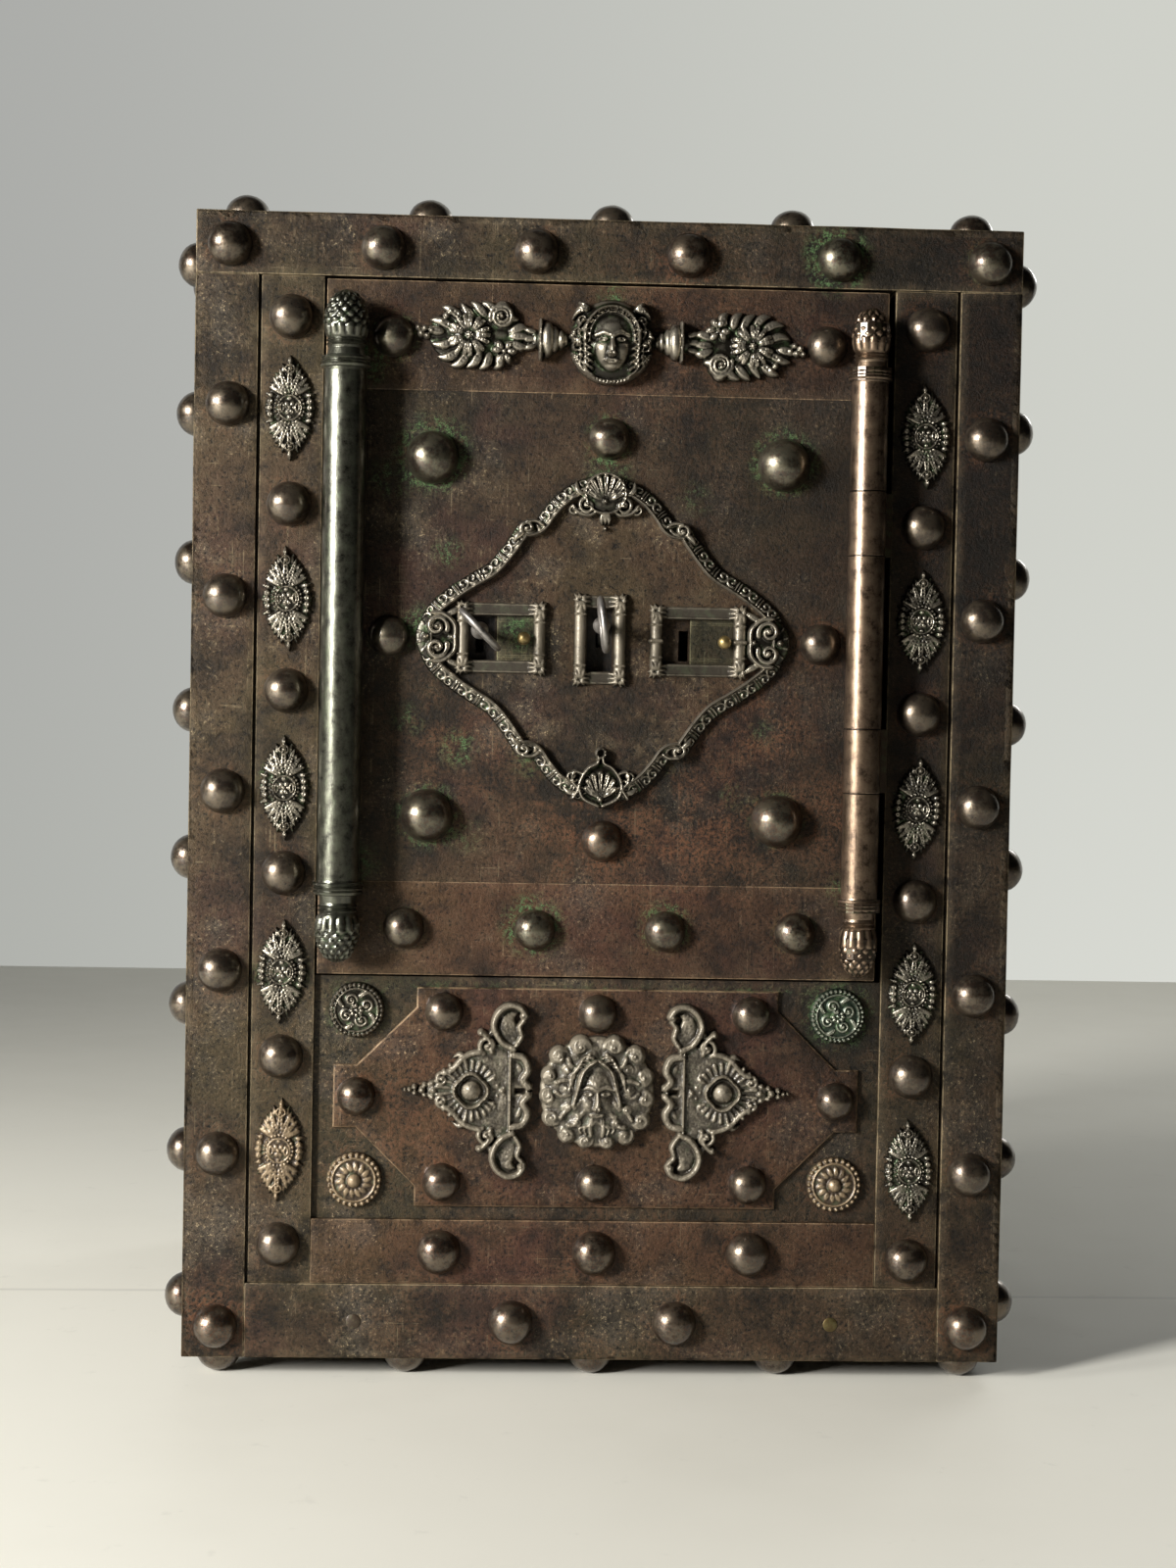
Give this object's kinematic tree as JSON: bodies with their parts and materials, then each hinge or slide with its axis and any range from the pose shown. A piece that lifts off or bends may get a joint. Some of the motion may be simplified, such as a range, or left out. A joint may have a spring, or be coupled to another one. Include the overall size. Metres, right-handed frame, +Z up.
{
  "type": "iron strongbox",
  "caption": "Studded iron strongbox with angle-bound edges, an ornamented hinged door with key windows, sliding key covers, keys, bolts and an inner shelf.",
  "frame": {"origin": "on the floor, under the middle of the box with its studs and keys", "axes": "+Z up, the front with the door faces -Y, +X is to the right as seen from the front"},
  "size_m": [0.598, 0.552, 0.818],
  "materials": {
    "strap_iron": "dark brown waxed wrought iron",
    "plate_iron": "dark oiled iron plate",
    "cast_ornament": "cast relief, dark with rubbed grey high points",
    "cover_brass": "greened brass",
    "column_brass": "pitted grey-green brass",
    "column_bronze": "coppery turned bronze",
    "lock_steel": "worn steel"
  },
  "bodies": {
    "cabinet": {"left_wall": "plate_iron", "right_wall": "plate_iron", "roof_plate": "plate_iron", "floor_plate": "plate_iron", "back_wall": "plate_iron", "front_left_angle": "strap_iron", "front_right_angle": "strap_iron", "top_front_angle": "strap_iron", "bottom_front_angle": "strap_iron", "top_left_angle": "strap_iron", "bottom_left_angle": "strap_iron", "rear_right_angle": "strap_iron", "rear_left_angle": "strap_iron", "top_rear_angle": "strap_iron", "bottom_rear_angle": "strap_iron", "top_right_angle": "strap_iron", "bottom_right_angle": "strap_iron", "left_inner_stile": "strap_iron", "right_inner_stile": "strap_iron", "lower_rail": "strap_iron", "lower_front_plate": "plate_iron", "left_jamb": "plate_iron", "right_jamb": "plate_iron", "door_head": "plate_iron", "door_sill": "plate_iron", "octagon_plate": "strap_iron", "lower_left_rosette": "cast_ornament", "lower_right_rosette": "cast_ornament", "upper_left_rosette": "cast_ornament", "upper_right_rosette": "cast_ornament", "left_escutcheon": "cast_ornament", "right_escutcheon": "cast_ornament", "curl_mask": "cast_ornament", "shelf": "plate_iron", "left_shelf_cleat": "plate_iron", "right_shelf_cleat": "plate_iron", "upper_jamb_knuckle": "column_bronze", "lower_jamb_knuckle": "column_bronze", "hinge_pin": "lock_steel"},
    "door": {"door_slab": "plate_iron", "door_panel": "strap_iron", "door_top_rail": "strap_iron", "door_bottom_rail": "strap_iron", "top_ornament": "cast_ornament", "cartouche": "cast_ornament", "left_window_frame": "cast_ornament", "centre_window_frame": "cast_ornament", "right_window_frame": "cast_ornament", "door_column": "column_brass", "upper_door_barrel": "column_bronze", "middle_door_barrel": "column_bronze", "lower_door_barrel": "column_bronze", "lock_case": "plate_iron", "lock_cover": "plate_iron"},
    "left_cover": {"left_key_cover": "cover_brass"},
    "right_cover": {"right_key_cover": "cover_brass"},
    "bolts": {"bolt_bar": "lock_steel"},
    "blocker": {"blocking_bar": "lock_steel"},
    "left_key": {"left_key": "lock_steel"},
    "centre_key": {"centre_key": "lock_steel"}
  },
  "joints": [
    {"name": "door_hinge", "type": "hinge", "parent": "cabinet", "child": "door", "pos_m": [0.178, -0.2314, 0.5], "axis": [0, 0, 1], "range_deg": [0, 165]},
    {"name": "left_cover_slide", "type": "slide", "parent": "door", "child": "left_cover", "axis": [1, 0, 0], "range_m": [-0.007, 0]},
    {"name": "right_cover_slide", "type": "slide", "parent": "door", "child": "right_cover", "axis": [1, 0, 0], "range_m": [-0.017, 0]},
    {"name": "bolt_slide", "type": "slide", "parent": "door", "child": "bolts", "axis": [1, 0, 0], "range_m": [-0.026, 0]},
    {"name": "left_key_turn", "type": "hinge", "parent": "door", "child": "left_key", "pos_m": [-0.087, -0.26, 0.52], "axis": [0, 1, 0], "range_deg": [-360, 0]},
    {"name": "centre_key_turn", "type": "hinge", "parent": "door", "child": "centre_key", "pos_m": [-0.004, -0.26, 0.525], "axis": [0, 1, 0], "range_deg": [0, 90]},
    {"name": "block_slide", "type": "slide", "parent": "door", "child": "blocker", "axis": [0, 0, 1], "range_m": [0, 0.009]}
  ],
  "couplings": [
    {"joint": "left_key_turn", "follows": "bolt_slide", "rad_per_m": 241.66},
    {"joint": "centre_key_turn", "follows": "block_slide", "rad_per_m": 174.5}
  ]
}
